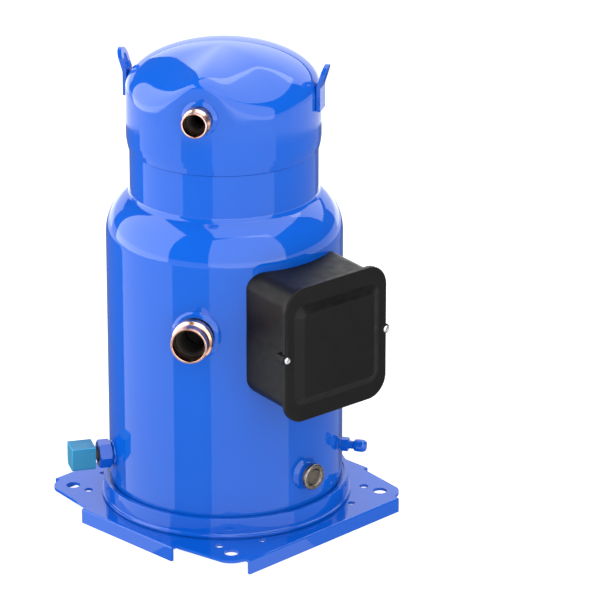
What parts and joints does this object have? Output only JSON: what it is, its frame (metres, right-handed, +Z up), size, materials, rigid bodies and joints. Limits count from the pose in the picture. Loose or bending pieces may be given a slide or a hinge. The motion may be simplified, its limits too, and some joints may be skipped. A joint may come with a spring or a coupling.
{
  "type": "scroll compressor",
  "caption": "Hermetic scroll compressor: stepped blue shell with domed cap, copper suction and discharge sockets, black terminal box, sight glass, valves and flanged base plate.",
  "frame": {"origin": "on the shaft axis, in the plane of the base plate's underside, where the flat bottom of the sump lies", "axes": "+Z up along the shaft; X and Y along the base plate's sides; the terminal box faces close to -Y and the tubes point between -X and -Y"},
  "size_m": [0.3618, 0.4051, 0.621],
  "materials": {
    "shell_paint": "glossy blue enamel",
    "copper": "bright copper tube",
    "box_plastic": "satin black moulding",
    "steel": "plain turned or pressed steel",
    "block_ceramic": "glazed insulating block",
    "bronze": "bearing bronze and brass",
    "sight_glass": "clear sight glass",
    "coil_plastic": "light blue moulded coil",
    "cast_iron": "machined cast iron",
    "light_alloy": "machined or cast aluminium",
    "lamination": "stacked electrical steel",
    "winding": "enamelled copper wire"
  },
  "bodies": {
    "casing": {"base_plate": "shell_paint", "bottom_cap": "shell_paint", "main_shell": "shell_paint", "top_cap": "shell_paint", "lifting_lug_left": "shell_paint", "lifting_lug_right": "shell_paint", "suction_fitting": "shell_paint", "suction_tube": "copper", "discharge_fitting": "shell_paint", "discharge_tube": "copper", "terminal_box": "box_plastic", "terminal_plate": "steel", "terminal_block": "block_ceramic", "terminal_pin_1": "copper", "terminal_pin_2": "copper", "terminal_pin_3": "copper", "earth_screw": "bronze", "sight_glass_boss": "shell_paint", "sight_glass_holder": "steel", "sight_glass_lens": "sight_glass", "injection_port": "shell_paint", "injection_valve_tube": "steel", "service_valve_body": "shell_paint", "fixed_scroll": "cast_iron", "discharge_valve_guard": "steel", "partition_plate": "steel", "main_frame": "cast_iron", "scroll_bolt_1": "steel", "scroll_bolt_2": "steel", "scroll_bolt_3": "steel", "scroll_bolt_4": "steel", "main_bearing": "bronze", "stator_core": "lamination", "winding_head_upper": "winding", "winding_head_lower": "winding", "lower_bearing_bracket": "cast_iron", "lower_bearing": "bronze", "thrust_washer": "bronze", "oil_strainer": "bronze", "suction_baffle": "steel"},
    "crank": {"crankshaft": "steel", "rotor_core": "lamination", "rotor_end_ring_upper": "light_alloy", "rotor_end_ring_lower": "light_alloy", "counterweight_upper": "bronze", "counterweight_lower": "bronze", "oil_pickup": "steel"},
    "orbiter": {"orbiting_scroll": "cast_iron", "orbiting_bearing": "bronze"},
    "oldham": {"oldham_ring": "light_alloy"},
    "valve_disc": {"discharge_valve_disc": "steel"},
    "box_cover": {"terminal_box_cover": "box_plastic", "cover_screw_left": "steel", "cover_screw_right": "steel"},
    "coil": {"injection_valve_coil": "coil_plastic"},
    "plunger": {"injection_valve_plunger": "steel"},
    "service_cap": {"service_valve_cap": "shell_paint"},
    "core_pin": {"service_valve_core_pin": "bronze"}
  },
  "joints": [
    {"name": "crank_spin", "type": "hinge", "parent": "casing", "child": "crank", "pos_m": [0, 0, 0.2], "axis": [0, 0, 1], "continuous": true},
    {"name": "scroll_orbit", "type": "hinge", "parent": "crank", "child": "orbiter", "pos_m": [0.006, 0, 0.4], "axis": [0, 0, 1], "continuous": true},
    {"name": "oldham_slide", "type": "slide", "parent": "casing", "child": "oldham", "axis": [1, 0, 0], "range_m": [-0.012, 0]},
    {"name": "discharge_valve_lift", "type": "slide", "parent": "casing", "child": "valve_disc", "axis": [0, 0, 1], "range_m": [0, 0.004]},
    {"name": "cover_lift_off", "type": "slide", "parent": "casing", "child": "box_cover", "axis": [-0.0785, -0.9969, 0], "range_m": [0, 0.1]},
    {"name": "coil_pull_off", "type": "slide", "parent": "casing", "child": "coil", "axis": [-0.866, 0.5, 0], "range_m": [0, 0.035]},
    {"name": "injection_plunger_travel", "type": "slide", "parent": "casing", "child": "plunger", "axis": [-0.866, 0.5, 0], "range_m": [0, 0.004], "stiffness_N_per_m": 300},
    {"name": "service_cap_pull_off", "type": "slide", "parent": "casing", "child": "service_cap", "axis": [0.5, -0.866, 0], "range_m": [0, 0.025]},
    {"name": "core_pin_press", "type": "slide", "parent": "casing", "child": "core_pin", "axis": [-0.5, 0.866, 0], "range_m": [0, 0.0015], "stiffness_N_per_m": 800}
  ],
  "couplings": [
    {"joint": "scroll_orbit", "follows": "crank_spin", "ratio": -1}
  ]
}
